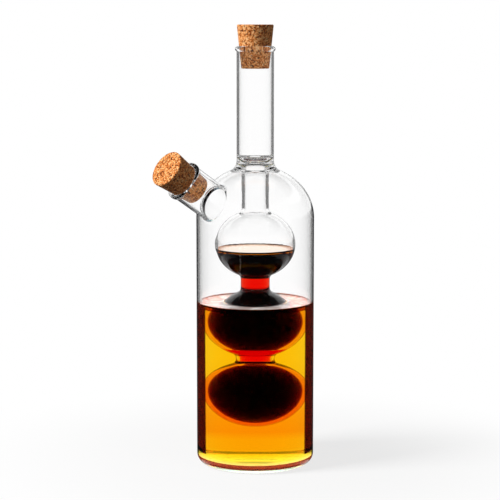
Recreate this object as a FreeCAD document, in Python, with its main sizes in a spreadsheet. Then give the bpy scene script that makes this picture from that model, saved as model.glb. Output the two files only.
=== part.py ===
"""Oil and vinegar bottle: a corked glass bottle with a second glass vessel blown inside it.

The oil stands in the outer chamber and pours from the slanted side spout.  The vinegar
stands in the inner vessel, three bulbs on a stem, and pours through the neck.  Bottle,
spout, stem and bulbs are fused into one piece of glass, and the liquids and corks fit it.

Millimetres, +Z up.  The origin is the middle of the foot, on the surface that the bottle
stands on, and the spout leans towards +Y.
"""
import FreeCAD
import Part
import Sketcher
import math
import os

DRIVING_SIZES = (
    # alias, value, what it measures
    ("body_radius", 35.0, "outside of the straight wall"),
    ("body_wall", 1.8, "glass of the straight wall"),
    ("base_thickness", 3.0, "glass under the oil"),
    ("base_corner", 6.0, "outer rounding from the foot to the wall"),
    ("dimple_radius", 10.5, "round dimple in the middle of the foot"),
    ("dimple_depth", 1.2, "height of that dimple"),
    ("dome_base", 148.0, "where the wall turns into the dome"),
    ("dome_rise", 31.0, "outer height of the full dome oval"),
    ("dome_wall", 1.5, "glass of the dome at its crown"),
    ("crown_round", 2.0, "rounding inside, where the dome meets the stem"),
    ("bottle_height", 249.3, "foot to the top of the lip"),
    ("neck_radius", 11.0, "outside of the neck and spout tube"),
    ("neck_wall", 1.4, "glass of the neck and spout tube"),
    ("neck_flare", 6.5, "outer rounding from the dome to the neck"),
    ("lip_bulge", 0.9, "how far the lip bead stands out of the tube"),
    ("lip_bead", 1.65, "radius of the lip bead's section"),
    ("mouth_round", 0.55, "rounding of the mouth's inner edge"),
    ("funnel_height", 186.0, "where the neck bore starts to narrow to the stem"),
    ("funnel_round", 3.0, "both roundings of that narrowing"),
    ("stem_radius", 8.1, "outside of the stem above the bulbs"),
    ("stem_wall", 1.8, "glass of the stem"),
    ("waist_radius", 8.65, "outside of the waists between the bulbs"),
    ("waist_wall", 2.0, "glass of the waists"),
    ("waist_round", 3.0, "outer rounding from a waist or the stem to a bulb"),
    ("bulb_wall", 1.2, "glass of the bulbs"),
    ("upper_bulb_height", 132.3, "middle of the upper bulb"),
    ("upper_bulb_radius", 23.9, "its outer radius"),
    ("upper_bulb_rise", 20.1, "half its outer height"),
    ("middle_bulb_height", 85.5, "middle of the middle bulb"),
    ("middle_bulb_radius", 23.7, "its outer radius"),
    ("middle_bulb_rise", 19.8, "half its outer height"),
    ("lower_bulb_height", 43.4, "middle of the lower bulb"),
    ("lower_bulb_radius", 23.7, "its outer radius"),
    ("lower_bulb_rise", 19.8, "half its outer height"),
    ("spout_height", 138.9, "where the spout's axis crosses the bottle's"),
    ("spout_lean", 57.5, "degrees from upright"),
    ("spout_reach", 64.8, "along the spout's axis, from the bottle's axis to its mouth"),
    ("spout_weld", 3.5, "fused rounding where the spout leaves the dome"),
    ("spout_root_round", 2.0, "rounding inside, where the spout's bore opens into the dome"),
    ("oil_level", 97.2, "surface of the oil above the foot"),
    ("vinegar_level", 129.1, "surface of the vinegar above the foot"),
    ("liquid_gap", 0.05, "clearance between a liquid and its glass"),
    ("neck_cork_over", 1.3, "how much wider in radius the neck cork's outer end is than the bore"),
    ("spout_cork_over", 1.5, "the same for the spout cork"),
    ("cork_under", 1.35, "how much narrower in radius a cork's inner end is than the bore"),
    ("cork_length", 25.7, "end to end"),
    ("cork_round", 0.7, "rounding of a cork's rims"),
    ("cork_fit", 0.05, "clearance between a cork and the mouth"),
)
BULBS = ("upper", "middle", "lower")
SHEET = "sizes"
FULL_TURN = 360.0
HALVINGS = 60
TOUCHING = 1e-3
EDGE_STATIONS = 5


class Size:
    """A size with its value in numbers and the sheet expression that gives it."""

    def __init__(self, value, text):
        self.value = value
        self.text = text

    def _with(self, sign, other, value):
        return Size(value, "(%s %s %s)" % (self.text, sign, as_size(other).text))

    def __add__(self, other):
        return self._with("+", other, self.value + as_size(other).value)

    def __sub__(self, other):
        return self._with("-", other, self.value - as_size(other).value)

    def __mul__(self, other):
        return self._with("*", other, self.value * as_size(other).value)

    def __truediv__(self, other):
        return self._with("/", other, self.value / as_size(other).value)


def as_size(number):
    """A Size, made from a plain number where it isn't one yet."""
    return number if isinstance(number, Size) else Size(float(number), repr(float(number)))


def sine(angle):
    return Size(math.sin(math.radians(angle.value)), "sin(%s * 1 deg)" % angle.text)


def cosine(angle):
    return Size(math.cos(math.radians(angle.value)), "cos(%s * 1 deg)" % angle.text)


class Sizes:
    """The driving dimensions: cells of the spreadsheet, read as attributes."""

    def __init__(self, document):
        sheet = document.addObject("Spreadsheet::Sheet", SHEET)
        for row, (alias, value, meaning) in enumerate(DRIVING_SIZES, start=1):
            sheet.set("A%d" % row, alias)
            sheet.set("B%d" % row, repr(value))
            sheet.setAlias("B%d" % row, alias)
            sheet.set("C%d" % row, meaning)
            setattr(self, alias, Size(value, "%s.%s" % (SHEET, alias)))
        document.recompute()
        self.neck_bore = self.neck_radius - self.neck_wall
        self.cork_narrow = self.neck_bore - self.cork_under
        self.neck_cork_wide = self.neck_bore + self.neck_cork_over
        self.spout_cork_wide = self.neck_bore + self.spout_cork_over
        self.inner_radius = self.body_radius - self.body_wall
        self.dome_inner_rise = self.dome_rise - self.dome_wall

    def bulb(self, name):
        """Height, radius and half height of a bulb's outer oval."""
        return [getattr(self, "%s_bulb_%s" % (name, what)) for what in ("height", "radius", "rise")]


def point(x, y):
    return FreeCAD.Vector(x, y, 0.0)


def blend_centre(across, rise, line, blend, inside=False):
    """Where a rounding that touches an upright line and an oval about the axis has its centre.

    across and rise are the oval's half axes, line is the upright line's distance from the
    axis.  The rounding lies outside the line and outside the oval, or inside the oval.
    Gives the centre and the touching point on the oval, above the oval's middle.
    """
    side = -1.0 if inside else 1.0
    low, high = 0.0, math.pi / 2
    for _ in range(HALVINGS):
        angle = (low + high) / 2
        slope = math.hypot(math.cos(angle) / across, math.sin(angle) / rise)
        reach = across * math.cos(angle) + side * blend * math.cos(angle) / across / slope
        if reach > line + blend:
            low = angle
        else:
            high = angle
    height = rise * math.sin(angle) + side * blend * math.sin(angle) / rise / slope
    return (line + blend, height), (across * math.cos(angle), rise * math.sin(angle))


class Outline:
    """A closed half outline in a sketch: each piece starts where the last one ended.

    The sketch's upright axis is the axis that the outline is turned about.
    """

    START, END, MIDDLE = 1, 2, 3
    ROOT, UPRIGHT_AXIS = -1, -2

    def __init__(self, body, name, plane="XZ_Plane"):
        self.sketch = body.newObject("Sketcher::SketchObject", name)
        support = next(part for part in body.Origin.OriginFeatures if part.Role == plane)
        self.sketch.AttachmentSupport = [(support, "")]
        self.sketch.MapMode = "FlatFace"
        self.last = None
        self.first = None
        self.pen = None

    def constrain(self, *args):
        return self.sketch.addConstraint(Sketcher.Constraint(*args))

    def fix(self, kind, *place, size):
        """Add a dimension and tie it to the sheet."""
        index = self.constrain(kind, *place, size.value)
        name = "%s_%d" % (kind.lower(), index)
        self.sketch.renameConstraint(index, name)
        self.sketch.setExpression("Constraints.%s" % name, size.text)

    def fix_point(self, geometry, end, x=None, y=None):
        """Place a point by its distance from the axis and its height."""
        if x is not None:
            self.fix("DistanceX", self.ROOT, self.START, geometry, end, size=as_size(x))
        if y is not None:
            self.fix("DistanceY", self.ROOT, self.START, geometry, end, size=as_size(y))

    def _follow(self, geometry, start, end, smooth):
        """Join a new piece, whose ends are given in drawing order, to the last one."""
        if self.last is None:
            self.first = (geometry, start)
        else:
            kind = "Tangent" if smooth else "Coincident"
            self.constrain(kind, self.last[0], self.last[1], geometry, start)
        self.last = (geometry, end)
        return geometry

    def line_to(self, x, y, smooth=True, start=None):
        """Draw a straight piece from the pen, or from start where the outline begins."""
        begin = self.pen if start is None else start
        geometry = self.sketch.addGeometry(Part.LineSegment(point(*begin), point(x, y)))
        self.pen = (x, y)
        return self._follow(geometry, self.START, self.END, smooth)

    def upright_to(self, x, y, smooth=True):
        geometry = self.line_to(x, y, smooth)
        self.constrain("Vertical", geometry)
        return geometry

    def level_to(self, x, y, smooth=True, start=None):
        geometry = self.line_to(x, y, smooth, start)
        self.constrain("Horizontal", geometry)
        return geometry

    def arc_to(self, x, y, centre, clockwise=False, smooth=True, start=None):
        """Draw a round piece about centre."""
        begin = self.pen if start is None else start
        radius = math.hypot(begin[0] - centre[0], begin[1] - centre[1])
        turns = [math.atan2(end[1] - centre[1], end[0] - centre[0]) for end in (begin, (x, y))]
        circle = Part.Circle(point(*centre), FreeCAD.Vector(0, 0, 1), radius)
        if clockwise:
            turns.reverse()
        geometry = self.sketch.addGeometry(Part.ArcOfCircle(circle, *turns))
        self.pen = (x, y)
        ends = (self.END, self.START) if clockwise else (self.START, self.END)
        return self._follow(geometry, *ends, smooth)

    def oval_to(self, x, y, height, across, rise, clockwise=False, smooth=True):
        """Draw a stretch of an oval about the axis, with its half axes tied to the sheet."""
        middle = height.value
        wide = across.value > rise.value
        wide_end, high_end = point(across.value, middle), point(0, middle + rise.value)
        major, minor = (wide_end, high_end) if wide else (high_end, wide_end)
        ellipse = Part.Ellipse(major, minor, point(0, middle))
        turns = [ellipse.parameter(point(*end)) for end in (self.pen, (x, y))]
        if clockwise:
            turns.reverse()
        geometry = self.sketch.addGeometry(Part.ArcOfEllipse(ellipse, *turns))
        self.pen = (x, y)
        ends = (self.END, self.START) if clockwise else (self.START, self.END)
        self._follow(geometry, *ends, smooth)
        major_line = self.sketch.GeometryCount
        self.sketch.exposeInternalGeometry(geometry)
        self.constrain("Horizontal" if wide else "Vertical", major_line)
        self.constrain("PointOnObject", geometry, self.MIDDLE, self.UPRIGHT_AXIS)
        self.fix_point(geometry, self.MIDDLE, y=height)
        level, upright = (major_line, major_line + 1) if wide else (major_line + 1, major_line)
        self.fix("Distance", level, size=across * 2)
        self.fix("Distance", upright, size=rise * 2)
        return geometry

    def close_on_axis(self, smooth=False):
        """Draw the last stretch, back along the axis to where the outline began."""
        first, start = self.first
        begin = self.sketch.getPoint(first, start)
        geometry = self.upright_to(begin.x, begin.y, smooth)
        self.constrain("Coincident", geometry, self.END, first, start)
        self.constrain("PointOnObject", first, start, self.UPRIGHT_AXIS)
        return geometry


def turn(body, kind, outline, name):
    """Revolve an outline about its upright axis, as added or as removed material."""
    before = body.Shape.Volume if body.Tip else 0.0
    feature = body.newObject("PartDesign::" + kind, name)
    feature.Profile = outline.sketch
    feature.ReferenceAxis = (outline.sketch, ["V_Axis"])
    feature.Angle = FULL_TURN
    body.Document.recompute()
    growth = body.Shape.Volume - before
    if growth * (1 if kind == "Revolution" else -1) <= 0:
        raise RuntimeError("%s did not change the solid as it should" % name)
    return feature


def draw_lip(outline, size, radius, top):
    """From the tube's outside, draw the bead and the flat top back to the axis.

    radius is the tube's outside and top the height of the lip, along the outline's axis.
    """
    centre = (radius + size.lip_bulge - size.lip_bead, top - size.lip_bead)
    bead = outline.arc_to(centre[0].value, top.value, (centre[0].value, centre[1].value),
                          smooth=False)
    outline.fix("Radius", bead, size=size.lip_bead)
    outline.fix_point(bead, outline.MIDDLE, x=centre[0])
    outline.level_to(0.0, top.value)
    outline.fix_point(outline.last[0], outline.END, y=top)


def bead_start(size, radius, top):
    """Height at which the bead leaves the tube's outside."""
    across = size.lip_bead.value - size.lip_bulge.value
    return top.value - size.lip_bead.value - math.sqrt(size.lip_bead.value ** 2 - across ** 2)


def draw_skin(body, size):
    """Outside of the bottle: foot with its dimple, wall, dome, neck and lip."""
    outline = Outline(body, "skin")
    deep, wide = size.dimple_depth.value, size.dimple_radius.value
    sphere = (wide ** 2 + deep ** 2) / (2 * deep)
    dimple = outline.arc_to(wide, 0.0, (0.0, deep - sphere), clockwise=True, start=(0.0, deep))
    outline.constrain("PointOnObject", dimple, outline.MIDDLE, outline.UPRIGHT_AXIS)
    outline.fix_point(dimple, outline.END, y=size.dimple_depth)
    outline.fix_point(dimple, outline.START, x=size.dimple_radius)
    wall, corner = size.body_radius.value, size.base_corner.value
    outline.level_to(wall - corner, 0.0, smooth=False)
    outline.constrain("PointOnObject", outline.last[0], outline.END, outline.ROOT)
    rounding = outline.arc_to(wall, corner, (wall - corner, corner))
    outline.fix("Radius", rounding, size=size.base_corner)
    outline.upright_to(wall, size.dome_base.value)
    centre, touch = blend_centre(wall, size.dome_rise.value, size.neck_radius.value,
                                 size.neck_flare.value)
    base = size.dome_base.value
    outline.oval_to(touch[0], base + touch[1], size.dome_base, size.body_radius, size.dome_rise)
    flare = outline.arc_to(size.neck_radius.value, base + centre[1], (centre[0], base + centre[1]),
                           clockwise=True)
    outline.fix("Radius", flare, size=size.neck_flare)
    neck = outline.upright_to(size.neck_radius.value,
                              bead_start(size, size.neck_radius, size.bottle_height))
    outline.fix_point(neck, outline.END, x=size.neck_radius)
    draw_lip(outline, size, size.neck_radius, size.bottle_height)
    outline.close_on_axis()
    return outline


def draw_spout(body, size):
    """Outside of the spout, along its own axis from the bottle's axis to its mouth."""
    outline = Outline(body, "spout_skin", "YZ_Plane")
    lean_spout(outline, size)
    radius = size.neck_radius.value
    outline.level_to(radius, spout_start(size).value, start=(0.0, spout_start(size).value))
    outline.fix_point(outline.last[0], outline.END, y=spout_start(size))
    tube = outline.upright_to(radius, bead_start(size, size.neck_radius, size.spout_reach), False)
    outline.fix_point(tube, outline.END, x=size.neck_radius)
    draw_lip(outline, size, size.neck_radius, size.spout_reach)
    outline.close_on_axis()
    return outline


def spout_start(size):
    """Station of the bore's inner end: its middle lies one bore radius inside the wall."""
    return (size.inner_radius - size.neck_bore) / sine(size.spout_lean)


def lean_spout(outline, size):
    """Turn a sketch so that its upright axis becomes the spout's axis."""
    sketch = outline.sketch
    sketch.AttachmentOffset = FreeCAD.Placement(
        point(0.0, size.spout_height.value),
        FreeCAD.Rotation(FreeCAD.Vector(0, 0, 1), -size.spout_lean.value))
    sketch.setExpression("AttachmentOffset.Base.y", size.spout_height.text)
    sketch.setExpression("AttachmentOffset.Rotation.Angle", "-%s * 1 deg" % size.spout_lean.text)


def draw_mouth(outline, size, top, bore_end):
    """From the axis at the lip, draw the rounded mouth and the tube's bore down to bore_end."""
    bore, edge = size.neck_bore.value, size.mouth_round.value
    outline.level_to(bore + edge, top.value, start=(0.0, top.value))
    outline.fix_point(outline.last[0], outline.END, y=top)
    rounding = outline.arc_to(bore, top.value - edge, (bore + edge, top.value - edge))
    outline.fix("Radius", rounding, size=size.mouth_round)
    tube = outline.upright_to(bore, bore_end)
    outline.fix_point(tube, outline.END, x=size.neck_bore)


def draw_spout_bore(body, size):
    """Bore of the spout, from its mouth into the chamber."""
    outline = Outline(body, "spout_bore", "YZ_Plane")
    lean_spout(outline, size)
    draw_mouth(outline, size, size.spout_reach, spout_start(size).value)
    outline.level_to(0.0, spout_start(size).value, smooth=False)
    outline.fix_point(outline.last[0], outline.END, y=spout_start(size))
    outline.close_on_axis()
    return outline


def draw_bulbs(outline, size, bulb_in, stem_in, waist_in):
    """Stem, three bulbs and the waists between them, from the stem down to the axis.

    bulb_in, stem_in and waist_in say how far the outline lies inside the vessel's outside.
    """
    blend = size.waist_round + bulb_in
    upright = [size.stem_radius - stem_in] + [size.waist_radius - waist_in] * (len(BULBS) - 1)
    for order, name in enumerate(BULBS):
        height, across, rise = size.bulb(name)
        across, rise = across - bulb_in, rise - bulb_in
        above = upright[order]
        centre, touch = blend_centre(across.value, rise.value, above.value, blend.value)
        middle = height.value
        outline.upright_to(above.value, middle + centre[1])
        outline.fix_point(outline.last[0], outline.END, x=above)
        shoulder = outline.arc_to(touch[0], middle + touch[1], (centre[0], middle + centre[1]))
        outline.fix("Radius", shoulder, size=blend)
        if name == BULBS[-1]:
            outline.oval_to(0.0, middle - rise.value, height, across, rise, clockwise=True)
            return
        below = upright[order + 1]
        centre, touch = blend_centre(across.value, rise.value, below.value, blend.value)
        outline.oval_to(touch[0], middle - touch[1], height, across, rise, clockwise=True)
        hip = outline.arc_to(below.value, middle - centre[1], (centre[0], middle - centre[1]))
        outline.fix("Radius", hip, size=blend)


def draw_chamber(body, size, gap):
    """Space round the inner vessel, or the same space less a gap all round for its liquid."""
    outline = Outline(body, "chamber")
    wall, rise = size.inner_radius - gap, size.dome_inner_rise - gap
    floor, corner = size.base_thickness + gap, size.base_corner - size.body_wall - gap
    outline.level_to(wall.value - corner.value, floor.value, start=(0.0, floor.value))
    outline.fix_point(outline.last[0], outline.END, y=floor)
    rounding = outline.arc_to(wall.value, floor.value + corner.value,
                              (wall.value - corner.value, floor.value + corner.value))
    outline.fix("Radius", rounding, size=corner)
    base = size.dome_base.value
    outline.upright_to(wall.value, base)
    stem, crown = size.stem_radius + gap, size.crown_round - gap
    centre, touch = blend_centre(wall.value, rise.value, stem.value, crown.value, inside=True)
    outline.oval_to(touch[0], base + touch[1], size.dome_base, wall, rise)
    arch = outline.arc_to(stem.value, base + centre[1], (centre[0], base + centre[1]))
    outline.fix("Radius", arch, size=crown)
    outward = as_size(0.0) - gap
    draw_bulbs(outline, size, outward, outward, outward)
    outline.close_on_axis()
    return outline


def draw_vessel_bore(body, size, gap):
    """Way through the neck, stem and bulbs, or the same space less a gap for its liquid.

    The neck's own bore has no gap, because no liquid stands that high.
    """
    outline = Outline(body, "vessel_bore")
    narrow = size.stem_radius - size.stem_wall - gap
    step = (size.neck_bore.value - narrow.value) / 2
    ogee = size.funnel_round.value
    drop = math.sqrt(ogee ** 2 - (ogee - step) ** 2)
    high = size.funnel_height.value
    draw_mouth(outline, size, size.bottle_height, high)
    upper = outline.arc_to(size.neck_bore.value - step, high - drop,
                           (size.neck_bore.value - ogee, high), clockwise=True)
    outline.fix("Radius", upper, size=size.funnel_round)
    outline.fix_point(upper, outline.MIDDLE, y=size.funnel_height)
    lower = outline.arc_to(narrow.value, high - 2 * drop, (narrow.value + ogee, high - 2 * drop))
    outline.fix("Radius", lower, size=size.funnel_round)
    draw_bulbs(outline, size, size.bulb_wall + gap, size.stem_wall + gap, size.waist_wall + gap)
    outline.close_on_axis()
    return outline


def draw_headspace(body, size, level):
    """Everything above a liquid's surface."""
    outline = Outline(body, "headspace")
    side, top = size.body_radius, size.bottle_height
    outline.level_to(side.value, level.value, start=(0.0, level.value))
    outline.fix_point(outline.last[0], outline.END, x=side, y=level)
    outline.upright_to(side.value, top.value, smooth=False)
    outline.level_to(0.0, top.value, smooth=False)
    outline.fix_point(outline.last[0], outline.END, y=top)
    outline.close_on_axis()
    return outline


def new_body(document, label):
    body = document.addObject("PartDesign::Body", label)
    body.Label = label
    return body


def meeting_edges(body, size, radius):
    """Names of the edges in which the spout's tube or bore, given its radius, meets the dome."""
    lean = math.radians(size.spout_lean.value)
    along = FreeCAD.Vector(0, math.sin(lean), math.cos(lean))
    foot = FreeCAD.Vector(0, 0, size.spout_height.value)
    names = []
    for number, edge in enumerate(body.Shape.Edges, start=1):
        if edge.Degenerated or isinstance(edge.Curve, (Part.Line, Part.Circle)):
            continue
        stations = [spot - foot for spot in edge.discretize(EDGE_STATIONS)]
        away = [spot.cross(along).Length - radius.value for spot in stations]
        if max(abs(distance) for distance in away) < TOUCHING:
            names.append("Edge%d" % number)
    return names


def round_edges(body, name, edges, radius):
    """Round some edges of what a body holds so far."""
    before = body.Tip
    rounded = body.newObject("PartDesign::Fillet", name)
    rounded.Base = (before, edges)
    rounded.setExpression("Radius", radius.text)
    body.Document.recompute()


def build_glass(document, size):
    """The bottle, its spout and the vessel inside it, fused in one piece."""
    body = new_body(document, "glass")
    no_gap = as_size(0.0)
    turn(body, "Revolution", draw_skin(body, size), "bottle_blank")
    turn(body, "Revolution", draw_spout(body, size), "spout_tube")
    round_edges(body, "spout_weld", meeting_edges(body, size, size.neck_radius), size.spout_weld)
    turn(body, "Groove", draw_chamber(body, size, no_gap), "chamber_hollow")
    turn(body, "Groove", draw_vessel_bore(body, size, no_gap), "vessel_hollow")
    turn(body, "Groove", draw_spout_bore(body, size), "spout_hollow")
    round_edges(body, "spout_root", meeting_edges(body, size, size.neck_bore),
                size.spout_root_round)
    return body


def build_liquid(document, size, label, draw, level):
    """A liquid that fills its space up to a level surface."""
    body = new_body(document, label)
    turn(body, "Revolution", draw(body, size, size.liquid_gap), "filled_space")
    turn(body, "Groove", draw_headspace(body, size, level), "above_surface")
    return body


def build_cork(document, size, label, wide):
    """A tapered stopper on its own axis, with its narrow end at the origin."""
    body = new_body(document, label)
    outline = Outline(body, "taper")
    narrow, length = size.cork_narrow, size.cork_length
    outline.level_to(narrow.value, 0.0, start=(0.0, 0.0))
    outline.fix_point(outline.last[0], outline.END, x=narrow)
    outline.constrain("PointOnObject", outline.last[0], outline.END, outline.ROOT)
    outline.line_to(wide.value, length.value, smooth=False)
    outline.level_to(0.0, length.value, smooth=False)
    outline.fix_point(outline.last[0], outline.START, x=wide, y=length)
    outline.close_on_axis()
    turn(body, "Revolution", outline, "stopper")
    rims = ["Edge%d" % number for number, edge in enumerate(body.Shape.Edges, start=1)
            if not edge.Degenerated and isinstance(edge.Curve, Part.Circle)]
    round_edges(body, "rims", rims, size.cork_round)
    return body


def seat_depth(size, wide):
    """How far a cork's narrow end goes past the mouth, where its taper meets the bore."""
    contact = size.neck_bore - size.cork_fit
    return (contact - size.cork_narrow) * size.cork_length / (wide - size.cork_narrow)


def place_cork(cork, size, wide, axis_height, mouth, lean):
    """Push a cork into a mouth that lies along a leaning axis."""
    station = mouth - size.mouth_round - seat_depth(size, wide)
    across, up = station * sine(lean), axis_height + station * cosine(lean)
    cork.Placement = FreeCAD.Placement(
        FreeCAD.Vector(0, across.value, up.value),
        FreeCAD.Rotation(FreeCAD.Vector(1, 0, 0), -lean.value))
    cork.setExpression("Placement.Base.y", across.text)
    cork.setExpression("Placement.Base.z", up.text)
    cork.setExpression("Placement.Rotation.Angle", "-%s * 1 deg" % lean.text)


def export(document, nodes):
    """Refuse a failed or broken feature, then write each node."""
    for feature in document.Objects:
        if "Invalid" in feature.State or "Error" in feature.State:
            raise RuntimeError("%s could not be computed" % feature.Name)
    for node in nodes:
        shape = node.Shape
        if shape.isNull() or not shape.isValid() or len(shape.Solids) != 1:
            raise RuntimeError("%s is not one valid solid" % node.Label)
    os.makedirs("parts", exist_ok=True)
    for node in nodes:
        node.Shape.exportStep("parts/%s.step" % node.Label)
        print("%-12s %10.1f mm3" % (node.Label, node.Shape.Volume))


def main():
    document = FreeCAD.newDocument("oil_and_vinegar_bottle")
    size = Sizes(document)
    upright = as_size(0.0)
    glass = build_glass(document, size)
    oil = build_liquid(document, size, "oil", draw_chamber, size.oil_level)
    vinegar = build_liquid(document, size, "vinegar", draw_vessel_bore, size.vinegar_level)
    neck_cork = build_cork(document, size, "neck_cork", size.neck_cork_wide)
    spout_cork = build_cork(document, size, "spout_cork", size.spout_cork_wide)
    place_cork(neck_cork, size, size.neck_cork_wide, upright, size.bottle_height, upright)
    place_cork(spout_cork, size, size.spout_cork_wide, size.spout_height, size.spout_reach,
               size.spout_lean)
    document.recompute()
    export(document, [glass, oil, vinegar, neck_cork, spout_cork])


main()
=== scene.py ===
"""Looks of the oil and vinegar bottle, built round its packed construction.

The blown glass stays as constructed and gets its finish here.  The oil and the vinegar are
turned from their own outlines so that they reach just into the glass, with a meniscus at
each wall, and the two stoppers are pressed together from grains of cork.
"""
import logging
import math
from dataclasses import dataclass
from enum import Enum
from typing import Any, Iterable, Union

import bpy
import bmesh
from mathutils import Matrix, Vector


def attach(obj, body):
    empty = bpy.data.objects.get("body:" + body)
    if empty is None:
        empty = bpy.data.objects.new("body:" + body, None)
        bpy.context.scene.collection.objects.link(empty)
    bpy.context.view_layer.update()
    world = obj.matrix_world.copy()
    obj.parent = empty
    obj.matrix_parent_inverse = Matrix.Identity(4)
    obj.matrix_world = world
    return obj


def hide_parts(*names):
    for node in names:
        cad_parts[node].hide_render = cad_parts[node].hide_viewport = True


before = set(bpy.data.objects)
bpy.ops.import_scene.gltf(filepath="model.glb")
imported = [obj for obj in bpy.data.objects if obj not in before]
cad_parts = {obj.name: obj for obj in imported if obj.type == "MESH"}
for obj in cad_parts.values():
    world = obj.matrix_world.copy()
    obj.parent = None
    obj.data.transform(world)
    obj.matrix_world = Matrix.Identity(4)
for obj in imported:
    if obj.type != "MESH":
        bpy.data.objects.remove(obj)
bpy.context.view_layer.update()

LOG = logging.getLogger("bottle")
MM = 0.001
ROOT = "root"
Colour = tuple[float, float, float]
WHITE = (1.0, 1.0, 1.0)
BLACK = (0.0, 0.0, 0.0)


# ---------------------------------------------------------------- node trees as Python

class Value:
    """A number socket that can stand in a Python expression."""

    def __init__(self, graph: "Graph", socket: bpy.types.NodeSocket) -> None:
        """Keep the socket and the graph that new Math nodes go into."""
        self.graph = graph
        self.socket = socket

    def math(self, operation: str, *others: Any, first: Any = None) -> "Value":
        """Add a Math node.

        Args:
            operation: the node's operation, such as "ADD".
            others: what goes into the sockets after this value.
            first: what takes the first socket, so that this value comes second.

        Returns:
            The node's result.
        """
        terms = (self, *others) if first is None else (first, self)
        node = self.graph.node("ShaderNodeMath", {"operation": operation}, dict(enumerate(terms)))
        return Value(self.graph, node.outputs[0])

    def __add__(self, other: Any) -> "Value":
        """This value plus another."""
        return self.math("ADD", other)

    __radd__ = __add__

    def __sub__(self, other: Any) -> "Value":
        """This value less another."""
        return self.math("SUBTRACT", other)

    def __rsub__(self, other: Any) -> "Value":
        """Another value less this one."""
        return self.math("SUBTRACT", first=other)

    def __mul__(self, other: Any) -> "Value":
        """This value times another."""
        return self.math("MULTIPLY", other)

    __rmul__ = __mul__

    def __truediv__(self, other: Any) -> "Value":
        """This value over another."""
        return self.math("DIVIDE", other)

    def __rtruediv__(self, other: Any) -> "Value":
        """Another value over this one."""
        return self.math("DIVIDE", first=other)

    def __pow__(self, other: Any) -> "Value":
        """This value to a power."""
        return self.math("POWER", other)

    def __abs__(self) -> "Value":
        """This value without its sign."""
        return self.math("ABSOLUTE")

    def larger(self, other: Any) -> "Value":
        """The larger of two values."""
        return self.math("MAXIMUM", other)

    def above(self, limit: Any) -> "Value":
        """1 where this value is above a limit, else 0."""
        return self.math("GREATER_THAN", limit)

    def step(self, low: float, high: float) -> "Value":
        """Rise smoothly from 0 to 1, or fall from 1 to 0.

        Args:
            low: where it is 0.
            high: where it is 1, below low for a fall.

        Returns:
            The rise.
        """
        sockets = {0: self, 1: low, 2: high, 3: 0.0, 4: 1.0}
        settings = {"interpolation_type": "SMOOTHSTEP"}
        if low > high:
            sockets.update({1: high, 2: low, 3: 1.0, 4: 0.0})
        return self.graph.value("ShaderNodeMapRange", 0, settings, sockets)


Feed = Union[Value, bpy.types.NodeSocket, bpy.types.ID, float, tuple, str, bool]


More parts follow.
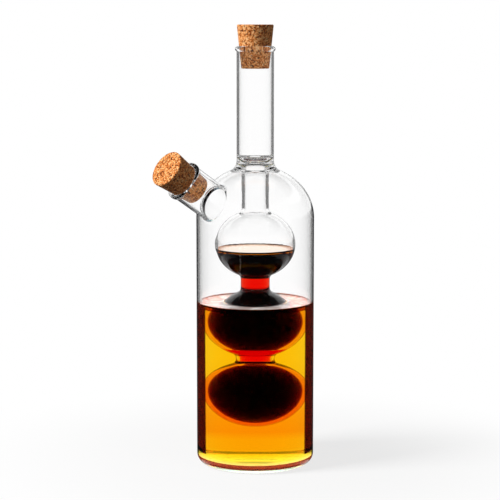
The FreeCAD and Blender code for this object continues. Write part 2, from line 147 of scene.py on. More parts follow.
class Graph:
    """A node tree under construction."""

    MIX_COLOURS = {"factor": 0, "first": 6, "second": 7}
    MIX_RESULT = 2

    def __init__(self, tree: bpy.types.NodeTree) -> None:
        """Start on an empty tree."""
        self.tree = tree
        tree.nodes.clear()

    def feed(self, socket: bpy.types.NodeSocket, value: Feed) -> None:
        """Link a socket, or set it where the value is a plain one.

        Args:
            socket: the input.
            value: what it gets; a colour may have three parts.
        """
        if isinstance(value, Value):
            value = value.socket
        if isinstance(value, bpy.types.NodeSocket):
            self.tree.links.new(value, socket)
        elif socket.type == "RGBA" and len(value) == 3:
            socket.default_value = (*value, 1.0)
        else:
            socket.default_value = value

    def node(self, kind: str, settings: dict[str, Any] | None = None,
             sockets: dict[Union[str, int], Feed] | None = None) -> bpy.types.Node:
        """Add a node.

        Args:
            kind: the node's type, such as "ShaderNodeTexNoise".
            settings: what is set on the node itself, before its sockets; "stops" fills a ramp.
            sockets: values or links, by input name or number.

        Returns:
            The new node.
        """
        node = self.tree.nodes.new(kind)
        for name, value in (settings or {}).items():
            if name == "stops":
                self._fill_ramp(node.color_ramp, value)
            else:
                setattr(node, name, value)
        for name, value in (sockets or {}).items():
            self.feed(node.inputs[name], value)
        return node

    @staticmethod
    def _fill_ramp(ramp: bpy.types.ColorRamp, stops: Iterable[tuple[float, Colour]]) -> None:
        """Give a ramp its stops.

        Args:
            ramp: the ramp, with its own first two stops.
            stops: places and colours.
        """
        stops = list(stops)
        while len(ramp.elements) < len(stops):
            ramp.elements.new(1.0)
        for element, (place, colour) in zip(ramp.elements, stops):
            element.position = place
            element.color = (*colour, 1.0)

    def value(self, kind: str, output: Union[str, int] = 0, settings: dict[str, Any] | None = None,
              sockets: dict[Union[str, int], Feed] | None = None) -> Value:
        """Add a node whose output is used in expressions.

        Args:
            kind: the node's type.
            output: the output's name or number.
            settings: as for node.
            sockets: as for node.

        Returns:
            The output.
        """
        return Value(self, self.node(kind, settings, sockets).outputs[output])

    def mix(self, factor: Feed, first: Feed, second: Feed) -> Value:
        """Mix two colours.

        Args:
            factor: how much of the second there is.
            first: a colour.
            second: another colour.

        Returns:
            The mixed colour.
        """
        places = self.MIX_COLOURS
        sockets = {places["factor"]: factor, places["first"]: first, places["second"]: second}
        return self.value("ShaderNodeMix", self.MIX_RESULT, {"data_type": "RGBA"}, sockets)

    def axes(self, vector: Feed) -> tuple[Value, Value, Value]:
        """The three parts of a vector."""
        node = self.node("ShaderNodeSeparateXYZ", sockets={0: vector})
        return tuple(Value(self, output) for output in node.outputs)

    def place(self) -> bpy.types.NodeSocket:
        """The place of a point in its object's own frame."""
        return self.node("ShaderNodeTexCoord").outputs["Object"]

    def round_axis(self, place: Feed) -> tuple[Value, Value]:
        """The distance of a place from the upright axis, and its height."""
        east, north, height = self.axes(place)
        return (east * east + north * north) ** 0.5, height

    def noise(self, place: Feed, size: float, detail: float, twist: float = 0.0) -> Value:
        """Soft noise.

        Args:
            place: where it is read.
            size: how large its blobs are.
            detail: how many finer layers it has.
            twist: how far its lines wander.

        Returns:
            The noise, around a half.
        """
        return self.value("ShaderNodeTexNoise", "Fac", sockets={
            "Vector": place, "Scale": 1.0 / size, "Detail": detail, "Distortion": twist})

    def slant(self) -> Value:
        """0 where a surface is seen straight on, and 1 where it is seen edge on."""
        return self.value("ShaderNodeLayerWeight", "Facing", sockets={"Blend": 0.5})

    def front(self) -> Value:
        """1 on the outer side of a surface, and 0 on its inner side."""
        return 1 - self.value("ShaderNodeNewGeometry", "Backfacing")


def new_material(name: str) -> tuple[bpy.types.Material, Graph]:
    """Start a material.

    Args:
        name: what it is called.

    Returns:
        The material, and its empty tree.
    """
    material = bpy.data.materials.new(name)
    material.use_nodes = True
    return material, Graph(material.node_tree)


# ---------------------------------------------------------------- finishes

class Medium(Enum):
    """What lies against a wall of glass, and how much it bends light."""

    AIR = 1.0
    OIL = 1.333
    VINEGAR = 1.46


@dataclass(frozen=True)
class ClearGlass:
    """Fire-polished clear glass, whose walls bend light by what lies on their other side.

    The oil's dark side zones are painted shade on the outer skin. They sit where the wall is seen
    at a slant, so they follow the shader's own facing value, and painted dark edge lines do the
    same. Two bands of painted shade darken the glass where the oil's surface and its floor meet
    the wall.
    """

    refraction: float = 1.47
    gloss: float = 0.12
    # painted shade: the colour of the oil's dark side zones on the outer skin
    side: Colour = (0.0060, 0.00010, 0.02)
    side_shade_start: float = 0.47
    side_shade_softness: float = 0.03
    # painted shade: the thin dark lines where the outer skin is seen edge on
    edge: Colour = (0.03, 0.03, 0.035)
    edge_shade_start: float = 0.74
    edge_shade_end: float = 0.80
    body_inner: float = 33.4 * MM
    vessel_radius: float = 26 * MM
    vessel_bottom: float = 15 * MM
    floor_height: float = 2.8 * MM
    oil_bottom: float = 9 * MM
    oil_level: float = 98.0 * MM
    vinegar_level: float = 129.9 * MM
    softness: float = 0.4 * MM
    # painted shade: a dark red band on the outer skin just under the oil's level
    rim: Colour = (0.14, 0.008, 0.01)
    level_shade_foot: float = 95.6 * MM
    # painted shade: a dark red band on the outer skin low down, near the bottle's foot
    foot: Colour = (0.10, 0.004, 0.003)
    foot_shade_top: float = 5.6 * MM
    foot_shade_bottom: float = 2.6 * MM

    def tint(self, graph: Graph, radius: Value, height: Value) -> Value:
        """What the outer skin takes away, all painted shade: the side zones, the edges and the two
        bands.

        Args:
            graph: the finish's tree.
            radius: the distance from the axis.
            height: the height over the foot.

        Returns:
            The skin's colour.
        """
        facing = graph.slant()
        skin = radius.above(self.body_inner) * graph.front()
        top = height.step(self.oil_level + self.softness, self.oil_level)
        # painted shade: dark lines where the outer skin is seen edge on
        edge = facing.step(self.edge_shade_start, self.edge_shade_end) * skin
        # painted shade: the oil's dark side zones, where the skin is seen at a slant below the oil
        # level
        side = facing.step(self.side_shade_start, self.side_shade_start + self.side_shade_softness)
        side = side * skin * height.step(self.oil_bottom - self.softness, self.oil_bottom) * top
        # painted shade: the dark band on the skin just under the oil's level
        rim = skin * height.step(self.level_shade_foot - self.softness, self.level_shade_foot) * top
        # painted shade: the dark band on the skin low down, near the bottle's foot
        foot = (skin * height.step(self.foot_shade_top + self.softness, self.foot_shade_top)
                * height.step(self.foot_shade_bottom - self.softness, self.foot_shade_bottom))
        clear = graph.mix(edge, WHITE, self.edge)
        clear = graph.mix(rim, clear, self.rim)
        return graph.mix(side, graph.mix(foot, clear, self.foot), self.side)

    def shader(self, graph: Graph, medium: Medium, colour: Feed) -> bpy.types.NodeSocket:
        """A glass surface against a medium.

        Args:
            graph: the finish's tree.
            medium: what lies against the glass.
            colour: what the glass lets through.

        Returns:
            The shader.
        """
        return graph.node("ShaderNodeBsdfPrincipled", sockets={
            "Base Color": colour, "Roughness": 0.0, "IOR": self.refraction / medium.value,
            "Transmission Weight": 1.0,
            "Specular Tint": (self.gloss, self.gloss, self.gloss)}).outputs[0]

    def material(self) -> bpy.types.Material:
        """Build the finish.

        The side of a wall that faces the axis is told from the other by the outward part of its
        normal, so each side gets the medium that lies against it.

        Returns:
            The material.
        """
        material, graph = new_material("clear_glass")
        east, north, height = graph.axes(graph.place())
        radius = (east * east + north * north) ** 0.5
        facing_east, facing_north, _ = graph.axes(
            graph.node("ShaderNodeNewGeometry").outputs["True Normal"])
        back = graph.value("ShaderNodeNewGeometry", "Backfacing")
        outward = (east * facing_east + north * facing_north) * (1 - back * 2)
        outward = outward.above(0.0)
        vessel = radius.step(self.vessel_radius + self.softness, self.vessel_radius)
        vessel = vessel * height.above(self.vessel_bottom)
        in_vinegar = vessel * (1 - outward) * (1 - height.above(self.vinegar_level))
        in_oil = vessel * outward + (1 - vessel) * (1 - outward)
        in_oil = in_oil * height.above(self.floor_height) * (1 - height.above(self.oil_level))
        surface = self.shader(graph, Medium.AIR, self.tint(graph, radius, height))
        for mask, medium in ((in_oil, Medium.OIL), (in_vinegar, Medium.VINEGAR)):
            wetted = self.shader(graph, medium, WHITE)
            surface = graph.node("ShaderNodeMixShader", sockets={
                0: mask, 1: surface, 2: wetted}).outputs[0]
        graph.node("ShaderNodeOutputMaterial", sockets={"Surface": surface})
        return material


@dataclass(frozen=True)
class ClearLiquid:
    """A liquid coloured all through, whose sides leave the bending of light to the glass."""

    name: str
    passes: Colour
    strength: float

    def skin(self, graph: Graph, refraction: float, tint: Feed, glow: Feed) -> bpy.types.NodeSocket:
        """A smooth clear surface that mirrors nothing straight on.

        Args:
            graph: the finish's tree.
            refraction: how much it bends light.
            tint: the colour that passes it.
            glow: the light that it gives off.

        Returns:
            The shader.
        """
        return graph.node("ShaderNodeBsdfPrincipled", sockets={
            "Base Color": tint, "Roughness": 0.0, "IOR": refraction, "Transmission Weight": 1.0,
            "Specular Tint": BLACK, "Emission Color": glow, "Emission Strength": 1.0}).outputs[0]

    def surface(self, graph: Graph) -> bpy.types.NodeSocket:
        """What the liquid's boundary looks like."""
        return self.skin(graph, Medium.AIR.value, WHITE, BLACK)

    def material(self) -> bpy.types.Material:
        """Build the finish.

        Returns:
            The material.
        """
        material, graph = new_material(self.name)
        depth = graph.node("ShaderNodeVolumeAbsorption", sockets={
            "Color": self.passes, "Density": self.strength})
        graph.node("ShaderNodeOutputMaterial", sockets={
            "Surface": self.surface(graph), "Volume": depth.outputs[0]})
        return material


@dataclass(frozen=True)
class LevelLiquid(ClearLiquid):
    """A liquid whose level surface glows with a painted reflection of the pale studio at a slant.
    """

    medium: Medium
    level: float
    # painted reflection: mirrored and rim are colours of light given off by the level surface, not
    # the liquid's own colours
    mirrored: Colour
    rim: Colour
    rim_radius: float
    rim_width: float = 4.0 * MM
    ripple: float = 0.0
    ripple_size: float = 11.0 * MM
    ripple_twist: float = 2.5
    ripple_start: float = 0.35
    ripple_end: float = 0.6
    sheen_start: float = 0.45
    sheen_end: float = 0.8
    surface_depth: float = 0.1 * MM

    def tint(self, graph: Graph, place: Feed) -> Feed:
        """The colour of the liquid's skin."""
        return WHITE

    def glow(self, graph: Graph, place: Feed) -> Feed:
        """What the liquid's sides give off."""
        return BLACK

    def sheen(self, graph: Graph, place: Feed, on_top: Value) -> Value:
        """Painted reflection given off by the level surface, with soft ripples and another colour
        at its rim.

        Args:
            graph: the finish's tree.
            place: where it is read.
            on_top: 1 on the level surface.

        Returns:
            The light of the painted reflection.
        """
        radius, _ = graph.round_axis(place)
        swirl = graph.noise(place, self.ripple_size, 2.0, self.ripple_twist)
        swirl = swirl.step(self.ripple_start, self.ripple_end) * self.ripple
        pale = graph.mix(swirl, self.mirrored, self.rim)
        at_rim = radius.step(self.rim_radius - self.rim_width, self.rim_radius)
        colour = graph.mix(at_rim, pale, self.rim)
        slanted = graph.slant().step(self.sheen_start, self.sheen_end)
        # painted reflection: given off as light where the level surface is seen at a slant
        return graph.mix(slanted * graph.front() * on_top, BLACK, colour)

    def surface(self, graph: Graph) -> bpy.types.NodeSocket:
        """The sides, which leave the bending of light to the glass, and the level surface.

        Args:
            graph: the finish's tree.

        Returns:
            The shader.
        """
        place = graph.place()
        tint = self.tint(graph, place)
        on_top = graph.axes(place)[2].above(self.level - self.surface_depth)
        side = self.skin(graph, Medium.AIR.value, tint, self.glow(graph, place))
        top = self.skin(graph, self.medium.value, tint, self.sheen(graph, place, on_top))
        return graph.node("ShaderNodeMixShader", sockets={0: on_top, 1: side, 2: top}).outputs[0]


@dataclass(frozen=True)
class GradedOil(LevelLiquid):
    """Oil, amber low down and yellow higher up, with painted light glowing on its lower face."""

    # The skin's colour by height: pale at the very bottom, amber low down and white higher up.
    tint_span: float = 100 * MM
    tints: tuple[tuple[float, Colour], ...] = (
        (0.04, (1.0, 0.9, 0.6)), (0.09, (1.0, 0.9, 0.6)), (0.14, (1.0, 0.5, 0.2)),
        (0.25, (1.0, 0.5, 0.3)), (0.60, (1.0, 0.92, 1.0)))
    # painted light: the colour of the glow given off on the oil's lower face
    floor: Colour = (0.20, 0.34, 0.5)
    floor_height: float = 3.2 * MM
    floor_radius: float = 29 * MM
    floor_fade: float = 3 * MM
    # painted shade: thin dark wandering lines in the painted light on the lower face
    shade_line: Colour = (0.62, 0.30, 0.10)
    shade_line_size: float = 17 * MM
    shade_line_twist: float = 3.0
    shade_line_width: float = 0.03

    def on_floor(self, graph: Graph, place: Feed) -> Value:
        """The oil's lower face.

        Args:
            graph: the finish's tree.
            place: where it is read.

        Returns:
            1 on the lower face, falling to 0 towards the wall, and 0 elsewhere.
        """
        radius, height = graph.round_axis(place)
        inside = radius.step(self.floor_radius, self.floor_radius - self.floor_fade)
        return (1 - height.above(self.floor_height)) * inside

    def tint(self, graph: Graph, place: Feed) -> Feed:
        """The skin's colour by height, with thin wandering lines of painted shade on the lower
        face.

        Args:
            graph: the finish's tree.
            place: where it is read.

        Returns:
            The colour.
        """
        by_height = graph.value("ShaderNodeValToRGB", 0, {"stops": self.tints},
                                {0: graph.axes(place)[2] / self.tint_span})
        wander = graph.noise(place, self.shade_line_size, 1.0, self.shade_line_twist)
        # painted shade: thin dark lines on the lower face
        lines = abs(wander - 0.5).step(self.shade_line_width, 0.0) * self.on_floor(graph, place)
        return graph.mix(lines, by_height, self.shade_line)

    def glow(self, graph: Graph, place: Feed) -> Feed:
        """Painted light: the pale glow given off on the lower face, for light through the bottle's
        floor.
        """
        return graph.mix(self.on_floor(graph, place), BLACK, self.floor)


@dataclass(frozen=True)
class PressedCork:
    """Grains of cork bark pressed together."""

    pale: Colour = (0.95, 0.56, 0.26)
    light: Colour = (0.86, 0.36, 0.11)
    middle: Colour = (0.60, 0.175, 0.038)
    brown: Colour = (0.32, 0.08, 0.016)
    fleck: Colour = (0.08, 0.02, 0.008)
    middle_place: float = 0.3
    light_place: float = 0.68
    grain_share: float = 0.75
    fine_share: float = 3.2
    fine_size: float = 0.9 * MM
    lift: float = 0.12
    fleck_size: float = 1.125 * MM
    fleck_start: float = 0.58
    fleck_end: float = 0.66
    roughness: float = 0.85

    def material(self, grain: float) -> bpy.types.Material:
        """Build the finish.

        Args:
            grain: how wide a grain is.

        Returns:
            The material.
        """
        material, graph = new_material("pressed_cork")
        place = graph.place()
        cells = graph.node("ShaderNodeTexVoronoi", {"feature": "F1"},
                           {"Vector": place, "Scale": 1.0 / grain})
        hue = graph.axes(cells.outputs["Color"])[0]
        fine = graph.noise(place, self.fine_size, 3.0) - 0.5
        stops = ((0.0, self.brown), (self.middle_place, self.middle),
                 (self.light_place, self.light), (1.0, self.pale))
        bark = graph.value("ShaderNodeValToRGB", 0, {"stops": stops},
                           {0: hue * self.grain_share + fine * self.fine_share + self.lift})
        flecks = graph.noise(place, self.fleck_size, 1.0).step(self.fleck_start, self.fleck_end)
        shader = graph.node("ShaderNodeBsdfPrincipled", sockets={
            "Base Color": graph.mix(flecks, bark, self.fleck), "Roughness": self.roughness})
        graph.node("ShaderNodeOutputMaterial", sockets={"Surface": shader.outputs[0]})
        return material


# ---------------------------------------------------------------- meshes from outlines

Outline = list[tuple[float, float]]
SEAM_WIDTH = 0.001 * MM
CREASE = math.radians(25.0)
TURNED_SPACING = 2.0 * MM


def half_outline(node: str) -> Outline:
    """Read the half outline of a turned solid of the frame.

    The solid's mesh has its seam where y is 0 and x is not negative, and the outline is the
    chain of edges along that seam. A flat end has no seam, so it is closed here.

    Args:
        node: the solid's name.

    Returns:
        Distances from the axis and heights, from the lower end on the axis to the upper one.
    """
    merged = bmesh.new()
    merged.from_mesh(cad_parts[node].data)
    bmesh.ops.remove_doubles(merged, verts=merged.verts, dist=SEAM_WIDTH)
    seam = {v for v in merged.verts if abs(v.co.y) < SEAM_WIDTH and v.co.x > -SEAM_WIDTH}
    last, here = None, min((v for v in seam if v.co.x < SEAM_WIDTH), key=lambda v: v.co.z)
    outline = []
    while here is not None:
        outline.append((max(0.0, here.co.x), here.co.z))
        ahead = [edge.other_vert(here) for edge in here.link_edges]
        ahead = [v for v in ahead if v in seam and v is not last]
        last, here = here, (ahead[0] if ahead else None)
    merged.free()
    if outline[-1][0] > SEAM_WIDTH:
        outline.append((0.0, outline[-1][1]))
    return outline if outline[0][1] < outline[-1][1] else outline[::-1]


def swollen(outline: Outline, reach: float) -> Outline:
    """Move an outline outwards from the solid, along its own normals.

    Args:
        outline: distances from the axis and heights, from the lower end to the upper one.
        reach: how far it moves, and below 0 for inwards.

    Returns:
        The moved outline.
    """
    moved = []
    for number, (x, z) in enumerate(outline):
        before = outline[max(0, number - 1)]
        after = outline[min(len(outline) - 1, number + 1)]
        along = Vector((after[0] - before[0], after[1] - before[1])).normalized()
        moved.append((max(0.0, x + reach * along.y) if x > SEAM_WIDTH else 0.0,
                      z - reach * along.x))
    return moved


def resampled(outline: Outline, spacing: float) -> Outline:
    """Add points to the long stretches of an outline.

    Args:
        outline: distances from the axis and heights.
        spacing: the longest stretch that is left.

    Returns:
        The outline with its old points and the added ones.
    """
    points = outline[:1]
    for (x, z), (next_x, next_z) in zip(outline, outline[1:]):
        count = max(1, math.ceil(math.hypot(next_x - x, next_z - z) / spacing))
        points += [(x + (next_x - x) * n / count, z + (next_z - z) * n / count)
                   for n in range(1, count + 1)]
    return points


def mesh_object(name: str, mesh: bpy.types.Mesh) -> bpy.types.Object:
    """Link a mesh to the scene.

    Args:
        name: what the object is called.
        mesh: its mesh.

    Returns:
        The object, at the origin.
    """
    piece = bpy.data.objects.new(name, mesh)
    bpy.context.scene.collection.objects.link(piece)
    return piece


def outline_object(name: str, outline: Outline) -> bpy.types.Object:
    """Make an outline a mesh of edges in the XZ plane.

    Args:
        name: what the object is called.
        outline: distances from the axis and heights.

    Returns:
        The object.
    """
    mesh = bpy.data.meshes.new(name)
    mesh.from_pydata([(x, 0.0, z) for x, z in outline],
                     [(n, n + 1) for n in range(len(outline) - 1)], [])
    return mesh_object(name, mesh)


class NodeShaper:
    """Makes a plain mesh with a Geometry Nodes tree whose inputs are named sizes."""

    def __init__(self, name: str) -> None:
        """Start a tree with geometry in and out."""
        self.tree = bpy.data.node_groups.new(name, "GeometryNodeTree")
        self.graph = Graph(self.tree)
        self.tree.interface.new_socket("Geometry", in_out="INPUT", socket_type="NodeSocketGeometry")
        self.tree.interface.new_socket("Geometry", in_out="OUTPUT",
                                       socket_type="NodeSocketGeometry")
        self.start = self.graph.node("NodeGroupInput")
        self.sizes: dict[str, Any] = {}

    def size(self, name: str, kind: str, value: Any) -> Value:
        """Add a named input.

        Args:
            name: what the input is called.
            kind: its socket, such as "Float" or "Int".
            value: what the modifier sets it to.

        Returns:
            The input, for use in expressions.
        """
        socket = self.tree.interface.new_socket(name, in_out="INPUT",
                                                socket_type="NodeSocket" + kind)
        self.sizes[socket.identifier] = value
        return Value(self.graph, self.start.outputs[name])

    def finish(self, geometry: Feed, material: Feed) -> None:
        """End the tree in Realize Instances and Set Material.

        Args:
            geometry: the made shape.
            material: the input that holds its finish.
        """
        real = self.graph.value("GeometryNodeRealizeInstances", sockets={0: geometry})
        dressed = self.graph.value("GeometryNodeSetMaterial", sockets={
            0: real, "Material": material})
        self.graph.node("NodeGroupOutput", sockets={0: dressed})

    def shape(self, piece: bpy.types.Object) -> bpy.types.Object:
        """Run the tree on an object and keep the result as its plain mesh.

        Args:
            piece: the object that the tree starts from.

        Returns:
            The same object, with its new mesh and no modifier.
        """
        modifier = piece.modifiers.new(self.tree.name, "NODES")
        modifier.node_group = self.tree
        for identifier, value in self.sizes.items():
            modifier[identifier] = value
        evaluated = piece.evaluated_get(bpy.context.evaluated_depsgraph_get())
        mesh = bpy.data.meshes.new_from_object(evaluated)
        mesh.name = piece.name
        piece.modifiers.clear()
        piece.data = mesh
        return piece


def turn_outward(piece: bpy.types.Object) -> None:
    """Close the poles and seams of a piece, turn its faces outwards and smooth them.

    Args:
        piece: the piece, whose mesh is changed.
    """
    merged = bmesh.new()
    merged.from_mesh(piece.data)
    bmesh.ops.remove_doubles(merged, verts=merged.verts, dist=SEAM_WIDTH)
    bmesh.ops.recalc_face_normals(merged, faces=merged.faces)
    if merged.calc_volume(signed=True) < 0.0:
        bmesh.ops.reverse_faces(merged, faces=merged.faces)
    merged.to_mesh(piece.data)
    merged.free()
    piece.data.shade_smooth()
    piece.data.set_sharp_from_angle(angle=CREASE)


def turned(name: str, outline: Outline, steps: int,
           material: bpy.types.Material) -> bpy.types.Object:
    """Turn an outline about the upright axis with Geometry Nodes.

    Args:
        name: the piece's name.
        outline: distances from the axis and heights.
        steps: how many faces go round.
        material: the piece's finish.

    Returns:
        The closed piece.
    """
    outline = resampled(outline, TURNED_SPACING)
    shaper = NodeShaper(name + "_turning")
    graph = shaper.graph
    rings = shaper.size("Outline Points", "Int", len(outline))
    round_steps = shaper.size("Steps Round", "Int", steps)
    finish = shaper.size("Finish", "Material", material)
    columns = round_steps + 1
    grid = graph.node("GeometryNodeMeshGrid", sockets={"Vertices X": rings, "Vertices Y": columns})
    number = graph.value("GeometryNodeInputIndex")
    ring = (number / columns + 0.5 / (steps + 1)).math("FLOOR")
    angle = (number - ring * columns) * math.tau / round_steps
    sampled = graph.node("GeometryNodeSampleIndex", {"data_type": "FLOAT_VECTOR"}, {
        0: shaper.start.outputs[0], "Value": graph.value("GeometryNodeInputPosition"),
        "Index": ring})
    away, _, height = graph.axes(sampled.outputs[0])
    place = graph.value("ShaderNodeCombineXYZ", sockets={
        0: away * angle.math("COSINE"), 1: away * angle.math("SINE"), 2: height})
    wrapped = graph.value("GeometryNodeSetPosition", sockets={
        0: grid.outputs["Mesh"], "Position": place})
    shaper.finish(wrapped, finish)
    piece = shaper.shape(outline_object(name, outline))
    turn_outward(piece)
    return piece


@dataclass
class Filling:
    """A liquid that fills a turned space of the glass up to a level."""

    node: str
    finish: ClearLiquid
    reach: float = 0.2 * MM
    meniscus: float = 1.0 * MM
    meniscus_width: float = 1.3 * MM
    surface_rings: int = 40
    steps: int = 240

    def outline(self) -> Outline:
        """The node's outline, reaching into the glass, with a meniscus at each wall.

        Returns:
            Distances from the axis and heights.
        """
        flat = half_outline(self.node)
        level = max(z for _, z in flat)
        on_level = [n for n, (_, z) in enumerate(flat) if abs(z - level) < SEAM_WIDTH]
        wide = swollen(flat, self.reach)
        below, above = wide[:on_level[0] + 1], wide[on_level[-1]:]
        outer = self._raised(below[-2], below[-1], level)
        has_inner_wall = len(above) > 1
        inner = self._raised(above[1], above[0], level) if has_inner_wall else (0.0, level)
        walls = [outer[0]] + ([inner[0]] if has_inner_wall else [])
        surface = []
        for step in range(self.surface_rings + 1):
            share = 0.5 - 0.5 * math.cos(math.pi * step / self.surface_rings)
            x = outer[0] + (inner[0] - outer[0]) * share
            lift = sum(math.exp(-abs(x - wall) / self.meniscus_width) for wall in walls)
            surface.append((x, level + self.meniscus * lift))
        return below[:-1] + surface + above[1:]

    def _raised(self, under: tuple[float, float], top: tuple[float, float],
                level: float) -> tuple[float, float]:
        """Carry a wall on in its own direction to the meniscus's height.

        Args:
            under: the wall's point below its top.
            top: its top, at the level.
            level: the liquid's level.

        Returns:
            The new top.
        """
        rise = level + self.meniscus - under[1]
        slope = (top[0] - under[0]) / (top[1] - under[1])
        return under[0] + slope * rise, under[1] + rise

    def build(self) -> bpy.types.Object:
        """Turn the filling and dress it.

        Returns:
            The piece.
        """
        piece = turned(self.node + "_fill", self.outline(), self.steps, self.finish.material())
        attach(piece, ROOT)
        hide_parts(self.node)
        return piece


@dataclass
class Stopper:
    """A tapered stopper of pressed grains, with seams and pits between them."""

    node: str
    finish: PressedCork
    spacing: float = 0.35 * MM
    steps: int = 180
    grain: float = 1.2 * MM
    seam_depth: float = 0.07 * MM
    seam_width: float = 0.12
    pit_depth: float = 0.28 * MM
    pit_size: float = 1.8 * MM
    pit_start: float = 0.62
    pit_end: float = 0.74
    normal_digits: int = 2
    place_digits: int = 5
    flat_end: float = 0.999
    ring_gap: float = 0.05 * MM
    inset: float = 0.03 * MM

    def seat(self) -> tuple[Matrix, Outline]:
        """The stopper's place and half outline, from its solid of the frame.

        Returns:
            The matrix from an upright stopper at the origin to its place, and its outline.
        """
        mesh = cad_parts[self.node].data
        flats: dict[tuple[float, ...], Vector] = {}
        for face in mesh.polygons:
            key = tuple(round(part, self.normal_digits) for part in face.normal)
            flats[key] = flats.get(key, Vector()) + face.normal * face.area
        axis = max(flats.values(), key=lambda total: total.length).normalized()
        ends = [vertex.co for vertex in mesh.vertices]
        along = [end.dot(axis) for end in ends]
        caps = [face for face in mesh.polygons if face.normal.dot(axis) > self.flat_end]
        covered = sum(face.area for face in caps)
        middle = sum((face.center * face.area for face in caps), Vector()) / covered
        centre = middle - axis * (max(along) - min(along)) / 2
        turn = axis.to_track_quat("Z", "Y").to_matrix().to_4x4()
        place = Matrix.Translation(centre) @ turn
        local = [place.inverted() @ end for end in ends]
        digits = self.place_digits
        points = {(round(math.hypot(p.x, p.y), digits), round(p.z, digits)) for p in local}
        outline: Outline = []
        for point in sorted(points, key=lambda point: math.atan2(point[1], point[0])):
            if not outline or math.dist(point, outline[-1]) > self.ring_gap:
                outline.append(point)
        outline = swollen(outline, -self.inset)
        top, bottom = outline[-1][1], outline[0][1]
        return place, [(0.0, bottom), *outline, (0.0, top)]

    def build(self) -> bpy.types.Object:
        """Turn the stopper, press its grains and put it in its mouth.

        Returns:
            The piece.
        """
        place, outline = self.seat()
        finish = self.finish.material(self.grain)
        outline = resampled(outline, self.spacing)
        piece = turned(self.node + "_grains", outline, self.steps, finish)
        self.press(piece, finish)
        piece.data.transform(place)
        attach(piece, ROOT)
        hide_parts(self.node)
        return piece

    def press(self, piece: bpy.types.Object, finish: bpy.types.Material) -> None:
        """Sink the seams between grains and a few pits below the stopper's own skin.

        Args:
            piece: the turned stopper.
            finish: its finish.
        """
        shaper = NodeShaper(self.node + "_pressing")
        graph = shaper.graph
        grain = shaper.size("Grain", "Float", self.grain)
        depth = shaper.size("Seam Depth", "Float", self.seam_depth)
        pit = shaper.size("Pit Depth", "Float", self.pit_depth)
        position = graph.value("GeometryNodeInputPosition")
        edge = graph.value("ShaderNodeTexVoronoi", "Distance", {"feature": "DISTANCE_TO_EDGE"}, {
            "Vector": position, "Scale": 1.0 / grain})
        holes = graph.noise(position, self.pit_size, 1.0).step(self.pit_start, self.pit_end)
        sunk = edge.step(self.seam_width, 0.0) * depth + holes * pit
        normal = graph.node("ShaderNodeVectorMath", {"operation": "SCALE"}, {
            0: graph.value("GeometryNodeInputNormal"), "Scale": sunk * -1})
        moved = graph.value("GeometryNodeSetPosition", sockets={
            0: shaper.start.outputs[0], "Offset": normal.outputs[0]})
        shaper.finish(moved, shaper.size("Finish", "Material", finish))
        shaper.shape(piece)
        piece.data.shade_smooth()


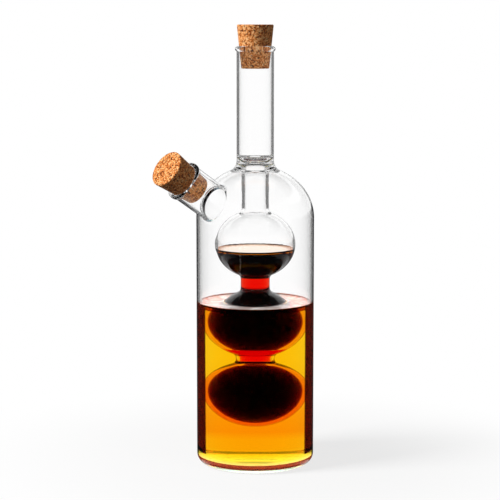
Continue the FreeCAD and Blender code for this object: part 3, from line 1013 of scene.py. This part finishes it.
@dataclass
class Depths:
    """The depth of colour in a bulbed liquid: dark cores in its bulbs, red ones in its waists.

    The sizes of the waists' cores, and how far they rise off their waists, are given from the
    lowest waist up.
    """

    node: str
    bulb_finish: ClearLiquid
    waist_finish: ClearLiquid
    half_waists: tuple[float, ...] = (4.3 * MM, 3.9 * MM)
    waist_rises: tuple[float, ...] = (2.7 * MM, 0.0)
    waist_limit: float = 8.0 * MM
    waist_spacing: float = 8.0 * MM
    air_skin: float = 0.3 * MM
    oil_skin: float = 3.0 * MM
    oil_level: float = 97.2 * MM
    skin_change: float = 3 * MM
    gap: float = 0.05 * MM
    pole_radius: float = 2.0 * MM
    steps: int = 160

    def skin(self, height: float) -> float:
        """How far a core stays inside the liquid's wall at a height."""
        share = min(1.0, max(0.0, (self.oil_level - height) / self.skin_change))
        return self.air_skin + (self.oil_skin - self.air_skin) * share

    def waists(self, flat: Outline) -> list[float]:
        """Find the narrowest places between the bulbs.

        Args:
            flat: the liquid's outline, from its lowest point up.

        Returns:
            Their heights.
        """
        heights = [z for x, z in flat if SEAM_WIDTH < x < self.waist_limit]
        groups: list[list[float]] = []
        for z in heights:
            if groups and z - groups[-1][-1] < self.waist_spacing:
                groups[-1].append(z)
            else:
                groups.append([z])
        lowest = flat[0][1] + self.waist_spacing
        return [(group[0] + group[-1]) / 2 for group in groups if group[0] > lowest]

    def slice(self, flat: Outline, low: float, high: float, in_bulb: bool) -> Outline:
        """The part of the outline between two heights, drawn in by the skin.

        Args:
            flat: the liquid's outline.
            low: the lower height.
            high: the upper height.
            in_bulb: whether the part is a bulb's, whose skin is thicker under the oil.

        Returns:
            The part's outline, closed flat where it is wide, and to a point at a pole.
        """
        kept = []
        for (x, z), (drawn_x, drawn_z) in zip(flat, swollen(flat, -1.0 * MM)):
            skin = self.skin(z) if in_bulb else self.air_skin
            x, z = x + (drawn_x - x) * skin / MM, z + (drawn_z - z) * skin / MM
            if low < z < high and x > SEAM_WIDTH:
                kept.append((x, z))
        ends = []
        for height in (low, high):
            near = min(kept, key=lambda point: abs(point[1] - height))
            ends.append((near[0], height) if near[0] > self.pole_radius else None)
        start = [(0.0, low), ends[0]] if ends[0] else [(0.0, kept[0][1])]
        end = [ends[1], (0.0, high)] if ends[1] else [(0.0, kept[-1][1])]
        return start + kept + end

    def build(self) -> list[bpy.types.Object]:
        """Turn the cores and dress them.

        Returns:
            The pieces, from the lowest up.
        """
        flat = half_outline(self.node)
        level = flat[-1][1]
        cuts = [flat[0][1] + self.oil_skin]
        for waist, half, rise in zip(self.waists(flat), self.half_waists, self.waist_rises):
            cuts += [waist + rise - half, waist + rise + half]
        cuts.append(level - self.air_skin)
        pieces = []
        dense, red = self.bulb_finish.material(), self.waist_finish.material()
        for number, (low, high) in enumerate(zip(cuts, cuts[1:])):
            in_bulb = number % 2 == 0
            outline = self.slice(flat, low + self.gap, high - self.gap, in_bulb)
            piece = turned(f"{self.node}_core_{number}", outline, self.steps,
                           dense if in_bulb else red)
            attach(piece, ROOT)
            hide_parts(self.node)
            pieces.append(piece)
        return pieces


# ---------------------------------------------------------------- studio

@dataclass(frozen=True)
class SoftBox:
    """A soft lamp that faces the bottle's middle, and that the glass mirrors or not.

    Its place is given ahead, to the right and up, from the bottle's foot, in the main view.
    """

    name: str
    place: tuple[float, float, float]
    size: tuple[float, float]
    watts: float
    mirrored: bool

    def build(self, place: Vector, aim: Vector) -> None:
        """Set the lamp up.

        Args:
            place: where it stands.
            aim: what it faces.
        """
        light = bpy.data.lights.new(self.name, "AREA")
        light.shape = "RECTANGLE"
        light.size, light.size_y = self.size
        light.energy = self.watts
        holder = bpy.data.objects.new(self.name, light)
        bpy.context.scene.collection.objects.link(holder)
        holder.location = place
        holder.visible_glossy = self.mirrored
        holder.visible_transmission = self.mirrored
        holder.rotation_euler = (aim - place).to_track_quat("-Z", "Y").to_euler()


@dataclass
class Studio:
    """Floor, backdrop, lamps and camera."""

    facing: float = 230.0
    flag_angles: tuple[float, float] = (38.0, 62.0)
    flag_softness: float = 0.02
    table_angles: tuple[float, float] = (-24.0, 0.5)
    dark: float = 0.10
    table_light: float = 0.18
    mirror_light: float = 0.02
    repeat_share: float = 0.7
    through_light: float = 1.0
    ambient: float = 0.05
    camera_distance: float = 1.03
    eye_height: float = 265 * MM
    aim_height: float = 128.6 * MM
    aim_right: float = -3.1 * MM
    lens: float = 125.6
    floor_size: float = 30.0
    floor_colour: Colour = (0.95, 0.95, 0.95)
    floor_glow: float = 1.0
    shadow_start: float = 0.06
    shadow_end: float = 0.22
    shadow_share: float = 0.22
    first_reflection: tuple[float, float] = (0.4, 0.6)
    second_reflection: tuple[float, float] = (1.4, 1.6)
    near_clip: float = 0.01
    through_bounces: int = 40
    mirror_bounces: int = 12
    lamps: tuple[SoftBox, ...] = (
        SoftBox("key", (-0.45, -1.1, 0.9), (0.5, 0.9), 26.0, False),
        SoftBox("fill", (-0.8, 0.9, 0.5), (0.6, 0.9), 1.8, False),
        SoftBox("strip", (-0.9, -0.5, 0.3), (0.05, 0.7), 0.6, True))

    def look(self) -> Vector:
        """The level direction that the camera looks in."""
        turn = math.radians(self.facing)
        return Vector((-math.sin(turn), math.cos(turn), 0.0))

    def right(self) -> Vector:
        """The level direction to the camera's right."""
        return self.look().cross(Vector((0.0, 0.0, 1.0)))

    def place(self, ahead: float, right: float, up: float) -> Vector:
        """A place given from the bottle's foot, in the main view."""
        return self.look() * ahead + self.right() * right + Vector((0.0, 0.0, up))

    def camera(self) -> None:
        """Set the camera up."""
        camera = bpy.data.cameras.new("camera")
        camera.lens = self.lens
        camera.clip_start = self.near_clip
        holder = bpy.data.objects.new("camera", camera)
        bpy.context.scene.collection.objects.link(holder)
        holder.location = self.place(-self.camera_distance, 0.0, self.eye_height)
        aim = self.place(0.0, self.aim_right, self.aim_height) - holder.location
        holder.rotation_euler = aim.to_track_quat("-Z", "Y").to_euler()
        bpy.context.scene.camera = holder

    def backdrop(self) -> None:
        """A white surround with dark bands, above, below and near the table, for glass only."""
        world = bpy.data.worlds.new("studio")
        bpy.context.scene.world = world
        world.use_nodes = True
        graph = Graph(world.node_tree)
        rise = graph.axes(graph.node("ShaderNodeTexCoord").outputs["Generated"])[2]
        soft = self.flag_softness
        start, end = (math.sin(math.radians(angle)) for angle in self.flag_angles)
        flags = abs(rise).step(start - soft, start + soft) - abs(rise).step(end - soft, end + soft)
        through = (1 - flags) * (self.through_light - self.dark) + self.dark
        low, high = (math.sin(math.radians(angle)) for angle in self.table_angles)
        table = rise.step(low - soft, low + soft) - rise.step(high - soft, high + soft)
        path = graph.node("ShaderNodeLightPath").outputs
        seen = Value(graph, path["Is Camera Ray"])
        passed = Value(graph, path["Is Transmission Ray"])
        glassy = Value(graph, path["Is Glossy Ray"]).larger(passed)
        bounces = Value(graph, path["Glossy Depth"])
        repeated = bounces.step(*self.second_reflection) * self.repeat_share
        once = bounces.step(*self.first_reflection) - repeated
        table_light = passed * (self.table_light - self.mirror_light) + self.mirror_light
        in_glass = through - once * table * (through - table_light)
        light = seen + glassy * in_glass + (1 - seen) * (1 - glassy) * self.ambient
        shader = graph.node("ShaderNodeBackground", sockets={
            "Color": WHITE, "Strength": light})
        graph.node("ShaderNodeOutputWorld", sockets={"Surface": shader.outputs[0]})

    def floor(self) -> None:
        """A wide white floor that keeps the bottle's soft shadow."""
        bpy.ops.mesh.primitive_plane_add(size=self.floor_size)
        floor = bpy.context.object
        floor.name = "floor"
        material, graph = new_material("pale_floor")
        away, _ = graph.round_axis(graph.place())
        matt = graph.node("ShaderNodeBsdfDiffuse", sockets={"Color": self.floor_colour})
        glow = graph.node("ShaderNodeEmission", sockets={
            "Color": WHITE, "Strength": self.floor_glow})
        near = away.step(self.shadow_end, self.shadow_start) * self.shadow_share
        mixed = graph.node("ShaderNodeMixShader", sockets={
            0: near, 1: glow.outputs[0], 2: matt.outputs[0]})
        graph.node("ShaderNodeOutputMaterial", sockets={"Surface": mixed.outputs[0]})
        floor.data.materials.append(material)
        floor.visible_transmission = False
        floor.visible_glossy = False
        floor.visible_diffuse = False

    def build(self) -> None:
        """Set everything up."""
        self.camera()
        self.backdrop()
        self.floor()
        middle = Vector((0.0, 0.0, self.aim_height))
        for lamp in self.lamps:
            lamp.build(self.place(*lamp.place), middle)
        scene = bpy.context.scene
        scene.view_settings.view_transform = "Standard"
        scene.cycles.max_bounces = self.through_bounces
        scene.cycles.transmission_bounces = self.through_bounces
        scene.cycles.glossy_bounces = self.mirror_bounces


# mirrored, rim, rim_radius, rim_width and ripple set the painted reflection that each level surface
# gives off as light
OIL = GradedOil("oil", (0.997, 0.90, 0.0), 95.0, Medium.OIL, level=97.2 * MM,
                 mirrored=(0.62, 0.60, 0.58), rim=(0.30, 0.22, 0.20), rim_radius=34 * MM,
                 rim_width=2 * MM, ripple=0.8)
VINEGAR = LevelLiquid("vinegar", (0.99, 0.85, 0.0), 250.0, Medium.VINEGAR, level=129.1 * MM,
                      mirrored=(0.62, 0.47, 0.36), rim=(0.42, 0.13, 0.02), rim_radius=22 * MM)
DENSE = ClearLiquid("vinegar_depth", (0.55, 0.10, 0.0), 380.0)
RED = ClearLiquid("vinegar_waist", (0.97, 0.0, 0.0), 420.0)


def main() -> None:
    """Build the bottle's looks in order, and report each piece."""
    logging.basicConfig(level=logging.INFO, format="%(message)s")
    Studio().build()
    pieces = [Filling("oil", OIL).build(), Filling("vinegar", VINEGAR).build()]
    pieces += Depths("vinegar", DENSE, RED).build()
    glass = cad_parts["glass"]
    glass.data.materials[0] = ClearGlass().material()
    pieces += [Stopper(node, PressedCork()).build() for node in ("neck_cork", "spout_cork")]
    for piece in (glass, *pieces):
        LOG.info("%s: %d faces", piece.name, len(piece.data.polygons))


if __name__ == "__main__":
    main()
